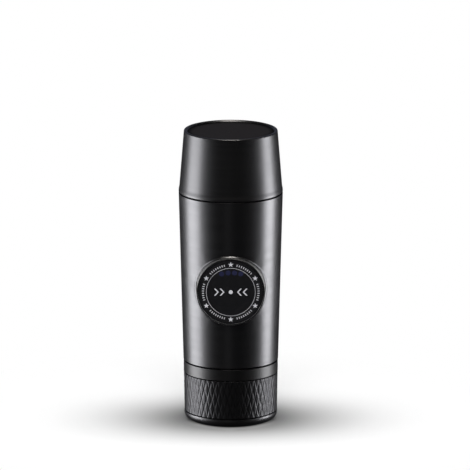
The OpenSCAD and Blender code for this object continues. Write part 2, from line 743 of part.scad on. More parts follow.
module tank_socket() color([0.12, 0.12, 0.125]) difference() {
  union() {
    rotate_extrude() polygon([[socket_r, shell_z0], [frame_r(shell_z0), shell_z0],
      [frame_r(bulk_z1), bulk_z1], [0, bulk_z1], [0, bulk_z0], [socket_r, bulk_z0]]);
    translate([0, block_y, bulk_z1 - bury]) cylinder(r = inlet_boss_r, h = inlet_boss_h + bury - plug_gap);
    thread_rib(socket_r + bury, tank_neck_r + thread_gap, tank_thread_z + lead / 2, 1);
  }
  ring(bulk_z0 - over, bulk_z0 + 2 * ring_r - ring_out, seal_r - ring_r - fit_gap, seal_r + ring_r + fit_gap);
  translate([0, block_y, 0]) {
    disc(bulk_z1, bulk_z1 + inlet_boss_h + over, plug_r + plug_gap);
    disc(bulk_z0 - over, bulk_z1 + over, seat_r);
    disc(bulk_z0 - over, bulk_z0 + filter_in + filter_t, filter_r + plug_gap);
  }
  pair(low_post) {
    disc(bulk_z0 - over, bulk_z1 + over, frame_screw_r + slide_gap);
    disc(bulk_z0 - over, bulk_z0 + frame_head_h, frame_head_r + slide_gap);
  }
}

module inlet_filter() color([0.7, 0.7, 0.7]) translate([0, block_y, 0]) difference() {
  disc(bulk_z0 + filter_in, bulk_z0 + filter_in + filter_t, filter_r);
  for (row = [0:1], i = [0:max(1, row * 6) - 1]) rotate(i * 360 / max(1, row * 6))
    translate([row * filter_pitch, 0, bulk_z0])
      cylinder(r = filter_hole_r, h = filter_in + filter_t + over, $fn = 24);
}

module frame_screw() {
  cylinder(r = frame_screw_r, h = frame_screw_l - frame_hole_end);
  difference() {
    translate([0, 0, -frame_head_h]) cylinder(r = frame_head_r, h = frame_head_h);
    translate([0, 0, -frame_head_h - over]) cylinder(r = hex_r, h = hex_h + over, $fn = 6);
  }
}
module frame_screws() color([0.6, 0.6, 0.6]) {
  pair(low_post) translate([0, 0, bulk_z0 + frame_head_h]) frame_screw();
  pair(high_post) translate([0, 0, shell_z1 - frame_head_h - frame_head_in]) mirror([0, 0, 1]) frame_screw();
}

// Tank

module tank_seal() color([0.05, 0.05, 0.05]) o_ring(seal_r, bulk_z0 + ring_r - ring_out, ring_r);

module water_tank() color([0.3, 0.31, 0.33]) {
  difference() {
    rotate_extrude() polygon([[0, tank_z0], [vessel_r, tank_z0], [vessel_r, shoulder_z],
      [tank_neck_r, shoulder_z], [tank_neck_r, tank_rim_z], [tank_neck_r - tank_wall, tank_rim_z],
      [tank_neck_r - tank_wall, shoulder_z - tank_wall],
      [vessel_r - tank_wall, shoulder_z - slope_h - 2 * tank_wall], [vessel_r - tank_wall, tank_floor_z],
      [0, tank_floor_z]]);
    disc(tank_z0 - over, tank_floor_z + over, vent_r + plug_gap);
  }
  thread_rib(tank_neck_r - bury, tank_crest_r, tank_thread_z, 1.2);
}

module vent_valve() color([0.75, 0.73, 0.7]) {
  disc(tank_z0 - vent_in, tank_floor_z + bury, vent_r);
  disc(tank_floor_z, tank_floor_z + vent_head_t, vent_head_r);
  disc(tank_z0 - vent_clip_t, tank_z0, vent_clip_r);
}

module tank_ring() color([0.07, 0.07, 0.075]) rotate_extrude() polygon([
  [vessel_r + plug_gap, band_z0], [tank_r - edge, band_z0], [tank_r, band_z0 + edge],
  [tank_r, z_low - half_gap - edge], [tank_r - edge, z_low - half_gap],
  [vessel_r + plug_gap, z_low - half_gap]]);

// Points of the knurl stand on a staggered grid: high at every other place, low between
module knurled_grip() color([0.09, 0.09, 0.095]) difference() {
  cols = 2 * knurl_count;
  rows = 2 * knurl_rows;
  step = (grip_z1 - grip_z0) / rows;
  points = concat(
    [for (i = [0:rows], k = [0:cols - 1])
      let (a = k * 360 / cols, outer = grip_low_r + (tank_r - grip_low_r) * i / rows,
        r = outer - ((i + k) % 2 == 0 ? 0 : knurl_h))
      [r * cos(a), r * sin(a), grip_z0 + i * step]],
    [[0, 0, grip_z0], [0, 0, grip_z1]]);
  foot = (rows + 1) * cols;
  sides = [for (i = [0:rows - 1], k = [0:cols - 1])
    let (n = (k + 1) % cols, a = i * cols + k, b = i * cols + n, c = b + cols, d = a + cols)
    each (i + k) % 2 == 0 ? [[a, d, b], [b, d, c]] : [[a, c, b], [a, d, c]]];
  caps = [for (k = [0:cols - 1]) let (n = (k + 1) % cols)
    each [[foot, k, n], [foot + 1, rows * cols + n, rows * cols + k]]];
  polyhedron(points, concat(sides, caps));
  disc(grip_z0 - over, grip_z1 + over, vessel_r + plug_gap);
}

module base_cap() color([0.07, 0.07, 0.075]) difference() {
  rotate_extrude() difference() {
    union() {
      translate([0, base_z]) square([base_cap_r - base_r, base_h - line_gap / 2 - base_z]);
      translate([0, base_z + base_r]) square([base_cap_r, base_h - line_gap / 2 - base_z - base_r]);
      translate([base_cap_r - base_r, base_z + base_r]) circle(r = base_r);
    }
    translate([0, base_h - line_gap / 2]) square([tank_r, base_r]);
  }
  disc(base_h - vent_room_h, base_h + over, vent_room_r);
  disc(-over, base_h + over, vent_hole_r);
  disc(-over, pad_z1, pad_r + plug_gap);
}

module foot_pad() color([0.06, 0.06, 0.06]) ring(0, pad_z1, pad_in, pad_r);

cup_shell();
cup_liner();
cup_base_disc();
outlet_head();
outlet_screen();
spout();
head_gasket();
body_shell();
brew_chamber();
cup_seal();
capsule_basket();
basket_gasket();
needle_plate();
channel_plug();
pump_housing();
pump_cylinder();
cylinder_seal();
return_spring();
valve_block();
valve_block_seals();
outlet_seat();
valve_cap();
inlet_spring();
outlet_spring();
inlet_ball();
outlet_ball();
button_cap();
button_face();
plunger();
plunger_seal();
plunger_screw();
tank_socket();
inlet_filter();
frame_screws();
tank_seal();
water_tank();
vent_valve();
tank_ring();
knurled_grip();
base_cap();
foot_pad();
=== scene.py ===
import math

import bpy
import numpy as np
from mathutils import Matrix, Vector


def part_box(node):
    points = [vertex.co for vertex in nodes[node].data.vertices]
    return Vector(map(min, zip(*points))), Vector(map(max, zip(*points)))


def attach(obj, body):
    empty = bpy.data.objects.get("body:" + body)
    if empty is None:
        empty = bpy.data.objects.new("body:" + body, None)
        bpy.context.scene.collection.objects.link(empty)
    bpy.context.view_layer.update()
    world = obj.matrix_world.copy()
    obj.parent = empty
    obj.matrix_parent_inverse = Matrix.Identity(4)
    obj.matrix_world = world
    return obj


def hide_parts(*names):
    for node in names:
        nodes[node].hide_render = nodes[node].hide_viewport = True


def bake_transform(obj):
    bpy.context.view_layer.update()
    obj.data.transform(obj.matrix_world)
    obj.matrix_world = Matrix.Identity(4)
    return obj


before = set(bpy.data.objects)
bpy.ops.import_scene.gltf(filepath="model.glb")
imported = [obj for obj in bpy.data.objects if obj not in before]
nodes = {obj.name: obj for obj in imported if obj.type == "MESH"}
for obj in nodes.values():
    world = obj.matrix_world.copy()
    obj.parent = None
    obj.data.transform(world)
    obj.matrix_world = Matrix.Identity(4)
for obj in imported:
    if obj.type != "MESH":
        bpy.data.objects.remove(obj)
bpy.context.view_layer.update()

scene = bpy.context.scene
scene.view_settings.view_transform = "Standard"
mm = 0.001
fullTurn = 2 * np.pi
whiteLight = (1, 1, 1, 1)
print("frame loaded,", len(nodes), "solids")


def linear(hexColour):
    # sRGB hex to linear light, with alpha
    c = np.array([int(hexColour[i:i + 2], 16) for i in (1, 3, 5)]) / 255
    lin = np.where(c <= 0.04045, c / 12.92, ((c + 0.055) / 1.055) ** 2.4)
    return (*lin.tolist(), 1.0)


def addNode(tree, kind, sockets=None, **settings):
    # one node: its settings by name, then its sockets filled with a value or a link
    node = tree.nodes.new(kind)
    for key, value in settings.items():
        setattr(node, key, value)
    for socket, value in (sockets or {}).items():
        if isinstance(value, bpy.types.NodeSocket):
            tree.links.new(value, node.inputs[socket])
        else:
            node.inputs[socket].default_value = value
    return node


def meshPiece(name, points, faces, smooth=True):
    # faces is one row of point numbers for each face, all with the same number of sides
    mesh = bpy.data.meshes.new(name)
    sides = faces.shape[1]
    mesh.vertices.add(len(points))
    mesh.vertices.foreach_set("co", np.asarray(points, np.float32).ravel())
    mesh.loops.add(faces.size)
    mesh.loops.foreach_set("vertex_index", faces.astype(np.int32).ravel())
    mesh.polygons.add(len(faces))
    mesh.polygons.foreach_set("loop_start", np.arange(0, faces.size, sides, dtype=np.int32))
    mesh.polygons.foreach_set("loop_total", np.full(len(faces), sides, np.int32))
    mesh.polygons.foreach_set("use_smooth", np.full(len(faces), smooth))
    mesh.update()
    mesh.validate()
    piece = bpy.data.objects.new(name, mesh)
    scene.collection.objects.link(piece)
    return piece


def gridPiece(name, points, wrapU=True, wrapV=False):
    # points[u, v] joined to their neighbours by quads; a wrapped direction joins its last row to its first
    nu, nv = points.shape[:2]
    u = np.arange(nu if wrapU else nu - 1)[:, None]
    v = np.arange(nv if wrapV else nv - 1)[None, :]
    un, vn = (u + 1) % nu, (v + 1) % nv
    quads = np.stack([u * nv + v, un * nv + v, un * nv + vn, u * nv + vn], -1).reshape(-1, 4)
    return meshPiece(name, points.reshape(-1, 3), quads)


# camera: a long lens a little above the table, straight at the button
cameraFacts = dict(
    elevation=13.3, distance=5.0, farEnd=50.0, lens=569.5, sensor=36.0, aim=(2.85 * mm, 0.0, 127 * mm),
)
cameraData = bpy.data.cameras.new("camera")
cameraData.lens = cameraFacts["lens"]
cameraData.sensor_width = cameraFacts["sensor"]
cameraData.clip_end = cameraFacts["farEnd"]
camera = bpy.data.objects.new("camera", cameraData)
scene.collection.objects.link(camera)
up = math.radians(cameraFacts["elevation"])
back = Vector((0, -math.cos(up), math.sin(up)))
camera.location = Vector(cameraFacts["aim"]) + back * cameraFacts["distance"]
camera.rotation_euler = (-back).to_track_quat("-Z", "Y").to_euler()
scene.camera = camera
print("camera set")

# studio: upright strip boxes that only shine in the metal, bright at both sides, dim beside the left ones
# and faint in front; a wide box overhead and a front fill that nothing mirrors; a warm box that only
# glints on edges. Sizes in metres, azimuth in degrees from the front, light as radiance, where 1 is white
studioFacts = dict(
    stripDistance=0.9,
    strips=(
        dict(name="left_low", azimuth=-93, width=0.60, span=(-0.33, 0.05), light=10.1),
        dict(name="left_high", azimuth=-93, width=0.60, span=(0.05, 0.49), light=5.05),
        dict(name="left_edge", azimuth=-65, width=0.34, span=(-0.33, 0.05), light=0.45),
        dict(name="front", azimuth=-6, width=0.16, span=(-0.6, 0.0), light=0.22),
        dict(name="right_low", azimuth=96, width=0.44, span=(-0.272, 0.05), light=11.8),
        dict(name="right_high", azimuth=96, width=0.44, span=(0.05, 0.49), light=5.9),
    ),
    aim=(0, 0, 0.1),
    boxes=(
        dict(name="top_box", place=(0, 0.02, 0.9), size=(0.9, 0.3), light=4.95, glossy=False),
        dict(name="front_fill", place=(0, -1.2, 0.75), size=(0.8, 0.8), light=4.6, glossy=False),
        dict(name="edge_box", place=(0, -0.48, 0.97), size=(0.5, 0.2), light=19.0, diffuse=False,
             colour="#fff9ee"),
    ),
)


def areaLamp(name, place, aim, size, light, diffuse=True, glossy=True, colour="#ffffff"):
    # a lamp gives its power as radiance times area times pi
    lamp = bpy.data.lights.new(name, "AREA")
    lamp.shape = "RECTANGLE"
    lamp.size, lamp.size_y = size
    lamp.energy = light * size[0] * size[1] * math.pi
    lamp.color = linear(colour)[:3]
    holder = bpy.data.objects.new(name, lamp)
    holder.location = place
    holder.rotation_euler = (Vector(aim) - Vector(place)).to_track_quat("-Z", "Y").to_euler()
    holder.visible_diffuse, holder.visible_glossy = diffuse, glossy
    scene.collection.objects.link(holder)


for strip in studioFacts["strips"]:
    azimuth = math.radians(strip["azimuth"])
    bottom, top = strip["span"]
    axis = Vector((0, 0, (bottom + top) / 2))
    place = axis + Vector((math.sin(azimuth), -math.cos(azimuth), 0)) * studioFacts["stripDistance"]
    size = (strip["width"], top - bottom)
    areaLamp("strip_box_" + strip["name"], place, axis, size, strip["light"], diffuse=False)
for box in studioFacts["boxes"]:
    areaLamp(aim=studioFacts["aim"], **box)
print("lamps hung")

# white paper table: keeps the lamps' soft shadow near the foot, deepened by a painted shadow and lifted under
# the front edge by a painted light, and turns into the white background farther out; half, shadowEnd and
# whiteFrom in metres, the shade and the lip in mm
tableFacts = dict(
    half=15.0, shadowEnd=0.09, whiteFrom=0.2, shadeSpread=(45.0, 32.0), shadeDepth=0.98,
    glow=0.03, lipGlow=0.15, lipRing=28.5, lipSpread=2.6, lipFrom=(-6.0, -20.0),
)
facts = tableFacts
corners = facts["half"] * np.array([[-1, -1, 0], [1, -1, 0], [1, 1, 0], [-1, 1, 0]])
table = meshPiece("paper_table", corners, np.array([[0, 1, 2, 3]]), smooth=False)
table.visible_glossy = False  # the metal mirrors the strip boxes below the table's level
table.visible_shadow = False
paper = bpy.data.materials.new("white paper sweep")
paper.use_nodes = True
tree = paper.node_tree
tree.nodes.clear()


def bellCurve(tree, square):
    # e to the power of minus half the square
    halved = addNode(tree, "ShaderNodeMath", {0: square, 1: -0.5}, operation="MULTIPLY")
    return addNode(tree, "ShaderNodeMath", {0: halved.outputs[0]}, operation="EXPONENT").outputs[0]


place = addNode(tree, "ShaderNodeTexCoord")
reach = addNode(tree, "ShaderNodeVectorMath", {0: place.outputs["Object"]}, operation="LENGTH")
far = addNode(tree, "ShaderNodeMapRange", {
    "Value": reach.outputs["Value"], "From Min": facts["shadowEnd"], "From Max": facts["whiteFrom"],
}, interpolation_type="SMOOTHSTEP")
# painted shadow: the room's light that the object hides, painted as a bell curve round its foot, wider to the
# sides than to the front
spread = addNode(tree, "ShaderNodeVectorMath", {
    0: place.outputs["Object"], 1: (*(1 / (s * mm) for s in facts["shadeSpread"]), 0),
}, operation="MULTIPLY")
square = addNode(tree, "ShaderNodeVectorMath", {
    0: spread.outputs[0], 1: spread.outputs[0],
}, operation="DOT_PRODUCT")
shade = addNode(tree, "ShaderNodeMapRange", {
    "Value": bellCurve(tree, square.outputs["Value"]), "To Min": 1.0, "To Max": 1 - facts["shadeDepth"],
})
matt = addNode(tree, "ShaderNodeBsdfDiffuse", {"Color": shade.outputs[0]})
# painted light: the light that the paper throws back under the foot's front edge, painted as a glow in a bell
# curve across a ring, only at the front
beside = addNode(tree, "ShaderNodeMath", {
    0: reach.outputs["Value"], 1: facts["lipRing"] * mm,
}, operation="SUBTRACT")
widths = addNode(tree, "ShaderNodeMath", {
    0: beside.outputs[0], 1: facts["lipSpread"] * mm,
}, operation="DIVIDE")
square = addNode(tree, "ShaderNodeMath", {0: widths.outputs[0], 1: widths.outputs[0]}, operation="MULTIPLY")
apart = addNode(tree, "ShaderNodeSeparateXYZ", {0: place.outputs["Object"]})
lipStart, lipFull = (y * mm for y in facts["lipFrom"])
front = addNode(tree, "ShaderNodeMapRange", {
    "Value": apart.outputs["Y"], "From Min": lipStart, "From Max": lipFull,
})
lip = addNode(tree, "ShaderNodeMath", {
    0: bellCurve(tree, square.outputs[0]), 1: front.outputs[0],
}, operation="MULTIPLY")
strength = addNode(tree, "ShaderNodeMath", {
    0: lip.outputs[0], 1: facts["lipGlow"], 2: facts["glow"],
}, operation="MULTIPLY_ADD")
glow = addNode(tree, "ShaderNodeEmission", {"Color": whiteLight, "Strength": strength.outputs[0]})
near = addNode(tree, "ShaderNodeAddShader", {0: matt.outputs[0], 1: glow.outputs[0]})
white = addNode(tree, "ShaderNodeEmission", {"Color": whiteLight, "Strength": 1.0})
rays = addNode(tree, "ShaderNodeLightPath")
seen = addNode(tree, "ShaderNodeMath", {
    0: far.outputs[0], 1: rays.outputs["Is Camera Ray"],
}, operation="MULTIPLY")
mixed = addNode(tree, "ShaderNodeMixShader", {0: seen.outputs[0], 1: near.outputs[0], 2: white.outputs[0]})
addNode(tree, "ShaderNodeOutputMaterial", {"Surface": mixed.outputs[0]})
table.data.materials.append(paper)

# room: white behind the object for the eye and through clear plastic, a pale wall behind and a dark front
# in the metal, and an even light on everything else; the wall fades in with the direction's share towards
# the back and upwards
roomFacts = dict(
    light=0.38, wallMirrored=0.2, frontMirrored=0.01, mirroredColour="#dde2ff",
    wallBack=(0.3, 0.9), wallUp=(-0.05, 0.1),
)
facts = roomFacts
world = bpy.data.worlds.new("studio")
scene.world = world
world.use_nodes = True
tree = world.node_tree
tree.nodes.clear()
rays = addNode(tree, "ShaderNodeLightPath")
place = addNode(tree, "ShaderNodeTexCoord")
apart = addNode(tree, "ShaderNodeSeparateXYZ", {0: place.outputs["Generated"]})
behind = addNode(tree, "ShaderNodeMapRange", {
    "Value": apart.outputs["Y"], "From Min": facts["wallBack"][0], "From Max": facts["wallBack"][1],
}, interpolation_type="SMOOTHSTEP")
above = addNode(tree, "ShaderNodeMapRange", {
    "Value": apart.outputs["Z"], "From Min": facts["wallUp"][0], "From Max": facts["wallUp"][1],
}, interpolation_type="SMOOTHSTEP")
wall = addNode(tree, "ShaderNodeMath", {0: behind.outputs[0], 1: above.outputs[0]}, operation="MULTIPLY")
mirror = addNode(tree, "ShaderNodeMapRange", {
    "Value": wall.outputs[0], "To Min": facts["frontMirrored"], "To Max": facts["wallMirrored"],
})
clear = addNode(tree, "ShaderNodeMath", {
    0: rays.outputs["Is Camera Ray"], 1: rays.outputs["Is Transmission Ray"],
}, operation="MAXIMUM")
room = addNode(tree, "ShaderNodeBackground", {"Color": whiteLight, "Strength": facts["light"]})
mirrored = addNode(tree, "ShaderNodeBackground", {
    "Color": linear(facts["mirroredColour"]), "Strength": mirror.outputs[0],
})
backdrop = addNode(tree, "ShaderNodeBackground", {"Color": whiteLight, "Strength": 1.0})
inMetal = addNode(tree, "ShaderNodeMixShader", {
    0: rays.outputs["Is Glossy Ray"], 1: room.outputs[0], 2: mirrored.outputs[0],
})
mixed = addNode(tree, "ShaderNodeMixShader", {
    0: clear.outputs[0], 1: inMetal.outputs[0], 2: backdrop.outputs[0],
})
addNode(tree, "ShaderNodeOutputWorld", {"Surface": mixed.outputs[0]})
print("studio set")


def newMaterial(name, colour, roughness, metallic=0.0, **sockets):
    # a principled base, its constants on the shader's own sockets
    material = bpy.data.materials.new(name)
    material.use_nodes = True
    shader = material.node_tree.nodes["Principled BSDF"]
    shader.inputs["Base Color"].default_value = linear(colour)
    shader.inputs["Roughness"].default_value = roughness
    shader.inputs["Metallic"].default_value = metallic
    for socket, value in sockets.items():
        shader.inputs[socket.replace("_", " ")].default_value = value
    return material, material.node_tree, shader


def dress(material, *pieces):
    for piece in pieces:
        piece.data.materials.clear()
        piece.data.materials.append(material)


# painted shade: the seams between the outer pieces, and the corner between the cup's rim and its disc,
# are painted dark where shade falls in them; half widths in mm
seamShadeFacts = dict(
    colour="#1c1c1e", soft=0.08, corner=0.25,
    seams=(
        ("cup_shell", "body_shell", 0.6),
        ("body_shell", "tank_ring", 0.6),
        ("tank_ring", "knurled_grip", 0.4),
    ),
)
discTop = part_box("cup_base_disc")[1]


def paintSeamShade(tree, shader, colour):
    # painted shade: the colour goes dark within half a width of any seam's height, in the corner only as far
    # out as the disc
    soft = seamShadeFacts["soft"] * mm
    place = addNode(tree, "ShaderNodeTexCoord")
    apart = addNode(tree, "ShaderNodeSeparateXYZ", {0: place.outputs["Object"]})

    def unshadedBeside(height, half):
        offset = addNode(tree, "ShaderNodeMath", {0: apart.outputs["Z"], 1: height}, operation="SUBTRACT")
        away = addNode(tree, "ShaderNodeMath", {0: offset.outputs[0]}, operation="ABSOLUTE")
        return addNode(tree, "ShaderNodeMapRange", {
            "Value": away.outputs[0], "From Min": half * mm, "From Max": half * mm + soft,
        }).outputs[0]

    level = addNode(tree, "ShaderNodeVectorMath", {
        0: place.outputs["Object"], 1: (1, 1, 0),
    }, operation="MULTIPLY")
    outward = addNode(tree, "ShaderNodeVectorMath", {0: level.outputs[0]}, operation="LENGTH")
    outside = addNode(tree, "ShaderNodeMapRange", {
        "Value": outward.outputs["Value"], "From Min": discTop.x, "From Max": discTop.x + soft,
    })
    unshaded = addNode(tree, "ShaderNodeMath", {
        0: unshadedBeside(discTop.z, seamShadeFacts["corner"]), 1: outside.outputs[0],
    }, operation="MAXIMUM")
    for upper, lower, half in seamShadeFacts["seams"]:
        height = (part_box(upper)[0].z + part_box(lower)[1].z) / 2
        unshaded = addNode(tree, "ShaderNodeMath", {
            0: unshaded.outputs[0], 1: unshadedBeside(height, half),
        }, operation="MINIMUM")
    skin = addNode(tree, "ShaderNodeMix", {
        "Factor": unshaded.outputs[0], 6: linear(seamShadeFacts["colour"]), 7: linear(colour),
    }, data_type="RGBA")
    tree.links.new(skin.outputs[2], shader.inputs["Base Color"])


# black anodised aluminium, turned: dark satin metal, fine rings from the lathe streak its highlights
# sideways; real rings are finer, these are drawn about 1.5 mm apart so that they show
turnedFacts = dict(
    colour="#4f4f51", roughness=(0.315, 0.395), ring=1.5, spread=160.0, bump=0.012,
    detail=3.0, fineShare=0.6, contrast=(0.3, 0.7),
)
facts = turnedFacts
turned, tree, shader = newMaterial(
    "black anodised aluminium, turned", facts["colour"], facts["roughness"][0], metallic=1.0)
place = addNode(tree, "ShaderNodeTexCoord")
rings = addNode(tree, "ShaderNodeMapping", {
    "Vector": place.outputs["Object"],
    "Scale": [1 / (size * mm) for size in (facts["spread"], facts["spread"], facts["ring"])],
})
cut = addNode(tree, "ShaderNodeTexNoise", {
    "Vector": rings.outputs[0], "Scale": 1.0, "Detail": facts["detail"], "Roughness": facts["fineShare"],
})
rough = addNode(tree, "ShaderNodeMapRange", {
    "Value": cut.outputs["Fac"], "From Min": facts["contrast"][0], "From Max": facts["contrast"][1],
    "To Min": facts["roughness"][0], "To Max": facts["roughness"][1],
})
tree.links.new(rough.outputs[0], shader.inputs["Roughness"])
bump = addNode(tree, "ShaderNodeBump", {"Height": cut.outputs["Fac"], "Distance": facts["bump"] * mm})
tree.links.new(bump.outputs[0], shader.inputs["Normal"])
# painted shade in the seams and in the corner under the cup's rim
paintSeamShade(tree, shader, facts["colour"])
dress(turned, *(nodes[name] for name in ("cup_shell", "body_shell", "base_cap")))

# black anodised aluminium, blasted: the tank's plain band, darker and duller than the turned body
blastedFacts = dict(name="black anodised aluminium, blasted", colour="#434344", roughness=0.4, metallic=1.0)
blasted, tree, shader = newMaterial(**blastedFacts)
# painted shade in the seams
paintSeamShade(tree, shader, blastedFacts["colour"])
dress(blasted, nodes["tank_ring"])
# black anodised aluminium, knurled: the same skin on the grip, darker again
knurledFacts = dict(name="black anodised aluminium, knurled", colour="#3c3c3e", roughness=0.4, metallic=1.0)
knurled, tree, shader = newMaterial(**knurledFacts)
# painted shade in the seams
paintSeamShade(tree, shader, knurledFacts["colour"])

# knurled grip: two crossed sets of helical grooves leave rows of tall flat-topped diamonds; sizes in mm
gripFacts = dict(
    count=52, rise=12.85, depth=0.2, flank=0.24, inset=0.12, taper=0.42, edge=0.35, wall=1.2,
    across=832, along=110,
)
facts = gripFacts
low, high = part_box("knurled_grip")
angle = np.linspace(0, fullTurn, facts["across"], endpoint=False)[:, None]
z = np.linspace(low.z, high.z, facts["along"])[None, :]
turn = facts["count"] * angle / fullTurn
climb = (z - (low.z + high.z) / 2) / (facts["rise"] * mm)


def crest(lead):
    # distance from the nearest groove of one set, as a flank that rises to a flat top
    return np.clip((0.5 - np.abs(lead - np.round(lead))) / gripFacts["flank"], 0, 1)


# radius = the grip's own, less a taper towards the foot, the groove depth where either set cuts
# and a rolled edge at both ends
share = (z - low.z) / (high.z - low.z)
fromEnd = np.minimum(z - low.z, high.z - z) / (facts["edge"] * mm)
rolled = facts["edge"] * (1 - np.sqrt(1 - (1 - np.clip(fromEnd, 0, 1)) ** 2))
height = np.minimum(crest(turn + climb), crest(turn - climb))
sunk = facts["inset"] + facts["taper"] * (1 - share) + facts["depth"] * (1 - height) + rolled
radius = high.x - mm * sunk
# one more row at each end closes the wall behind the diamonds
radius = np.pad(radius, ((0, 0), (1, 1)), constant_values=high.x - mm * facts["wall"])
z = np.pad(z, ((0, 0), (1, 1)), mode="edge") + 0 * angle
points = np.stack([radius * np.cos(angle), radius * np.sin(angle), z], -1)
grip = gridPiece("grip_diamonds", points, wrapV=True)
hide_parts("knurled_grip")
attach(grip, "tank")
dress(knurled, grip)
print("grip knurled")

# raised rim round the button's hole: a chamfered lip on the sleeve's skin, its foot a little wider than tall;
# sizes in mm, radii from the button's axis
rimFacts = dict(
    inner=23.38, outer=25.6, foot=(25.6, 24.22), chamfer=0.78, height=0.64, sunk=0.05, tuck=0.5,
    around=240, across=60,
)
facts = rimFacts
sleeveLow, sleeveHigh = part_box("body_shell")
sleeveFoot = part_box("tank_ring")[1].x
pumpAxis = (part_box("button_cap")[0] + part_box("button_cap")[1]) / 2
ring = np.linspace(facts["inner"], facts["outer"], facts["across"])[None, :]
angle = np.linspace(0, fullTurn, facts["around"], endpoint=False)[:, None]
# height = a straight ramp from the oval foot to a flat top, full at the ring's top and run out at its sides
wide, tall = facts["foot"]
foot = 1 / np.sqrt((np.sin(angle) / wide) ** 2 + (np.cos(angle) / tall) ** 2)
ramp = np.clip((foot - ring) / facts["chamfer"], 0, 1)
rise = facts["height"] * ramp * np.clip(np.cos(angle), 0, 1) ** 2 - facts["sunk"]
rise[:, [0, -1]] = -facts["tuck"]  # both edges reach down into the sleeve
x = pumpAxis.x + ring * mm * np.sin(angle)
z = pumpAxis.z + ring * mm * np.cos(angle)
# the sleeve widens evenly from its foot to its top; the rim follows it
share = (z - sleeveLow.z) / (sleeveHigh.z - sleeveLow.z)
skin = sleeveFoot + (sleeveHigh.x - sleeveFoot) * share + rise * mm
rim = gridPiece("button_rim", np.stack([x, -np.sqrt(skin ** 2 - x ** 2), z], -1), wrapV=True)
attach(rim, "main_body")
dress(turned, rim)
print("button rim raised")

# print on the button's face, in mm from its middle, each mark a flat shape just proud of the label
printFacts = dict(
    lift=0.03, ring=(16.27, 16.49), ringSteps=160,
    groups=6, starRing=18.85, starOut=1.9, starIn=0.76, starTips=5,
    tickRing=18.6, ticks=8, tickStep=4.8, tickSize=(0.5, 1.36),
    arrowAt=(5.2, 9.0), arrowSize=(2.2, 4.8), arrowLine=1.0, dot=1.35, dotSteps=28,
    windows=((-6.1, 12.5), (-1.8, 13.2), (2.5, 13.2), (6.7, 12.6)), windowDot=1.7,
)
# silver screen print: pale, slightly blue, dull
silverFacts = dict(name="silver screen print", colour="#b5b6bb", roughness=0.5)
silver, tree, shader = newMaterial(**silverFacts)
# painted reflection: dark blue spots on the label stand in for blue glints, hardly lighter than the black
# round them
blueGlintFacts = dict(name="painted blue glints", colour="#161a3c", roughness=0.4)
glintInk, tree, shader = newMaterial(**blueGlintFacts)
facts = printFacts
faceLow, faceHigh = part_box("button_face")
faceMid = (faceLow + faceHigh) / 2
quarter = math.pi / 2


def printMark(name, flat, faces, ink):
    # flat holds x to the right and z up, anticlockwise as seen from the front
    flat = flat.reshape(-1, 2) * mm
    depth = np.full(len(flat), faceLow.y - printFacts["lift"] * mm)
    points = np.stack([faceMid.x + flat[:, 0], depth, faceMid.z + flat[:, 1]], -1)
    mark = meshPiece(name, points, faces, smooth=False)
    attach(mark, "button")
    dress(ink, mark)


def polar(radius, angle):
    return np.stack([radius * np.cos(angle), radius * np.sin(angle)], -1)


def fans(copies, corners):
    # triangles from a middle point to each pair of corners, one fan for each copy
    k = np.arange(corners)
    fan = np.stack([np.zeros(corners, int), 1 + k, 1 + (k + 1) % corners], -1)
    return (np.arange(copies)[:, None, None] * (corners + 1) + fan).reshape(-1, 3)


def bars(corners):
    # one quad for each four corners
    return np.arange(len(corners) * 4).reshape(-1, 4)


def discs(centres, radius):
    # a middle point and a ring of points round each centre
    steps = printFacts["dotSteps"]
    edge = polar(radius, np.linspace(0, fullTurn, steps, endpoint=False))
    disc = np.concatenate([np.zeros((1, 2)), edge])
    return np.asarray(centres)[:, None, :] + disc, fans(len(centres), steps)


# thin ring: two circles joined
angle = np.linspace(0, fullTurn, facts["ringSteps"], endpoint=False)
k = np.arange(len(angle))
kn = (k + 1) % len(angle)
circles = np.stack([polar(r, angle) for r in facts["ring"]], 1)
printMark("print_ring", circles, np.stack([2 * k, 2 * k + 1, 2 * kn + 1, 2 * kn], -1), silver)
# upright stars: corners on two radii in turn
groupAngle = quarter + np.arange(facts["groups"]) * fullTurn / facts["groups"]
corner = np.arange(2 * facts["starTips"])
cornerRadius = np.where(corner % 2 == 0, facts["starOut"], facts["starIn"])
cornerAngle = quarter + corner * np.pi / facts["starTips"]
star = np.concatenate([np.zeros((1, 2)), polar(cornerRadius, cornerAngle)])
stars = polar(facts["starRing"], groupAngle)[:, None, :] + star
printMark("print_stars", stars, fans(facts["groups"], len(corner)), silver)
# rows of short ticks between the stars, each a bar that points at the middle
tickAngle = np.radians((np.arange(facts["ticks"]) - (facts["ticks"] - 1) / 2) * facts["tickStep"])
tickAngle = (groupAngle[:, None] + math.pi / facts["groups"] + tickAngle).ravel()[:, None]
outward, sideways = polar(1.0, tickAngle), polar(1.0, tickAngle + quarter)
halfWide, halfLong = np.array(facts["tickSize"]) / 2
ends = np.array([-1, 1, 1, -1])[None, :, None] * halfLong
sides = np.array([-1, -1, 1, 1])[None, :, None] * halfWide
ticks = outward * (facts["tickRing"] + ends) + sideways * sides
printMark("print_ticks", ticks, bars(ticks), silver)
# arrowheads that point at a dot in the middle: each is two slanted bars
wide, tall = facts["arrowSize"]
line = facts["arrowLine"]
head = np.array([[[0, 0], [line, 0], [line - wide, tall / 2], [-wide, tall / 2]],
                 [[-wide, -tall / 2], [line - wide, -tall / 2], [line, 0], [0, 0]]])
right = np.concatenate([head * (-1, 1) + (at, 0) for at in facts["arrowAt"]])[:, ::-1]
left = np.concatenate([head - (at, 0) for at in facts["arrowAt"]])
arrows = np.concatenate([left, right])
printMark("print_arrows", arrows, bars(arrows), silver)
printMark("print_dot", *discs([(0, 0)], facts["dot"]), silver)
# painted reflection: the blue glint spots
printMark("print_blue_glints", *discs(facts["windows"], facts["windowDot"]), glintInk)
print("button printed")
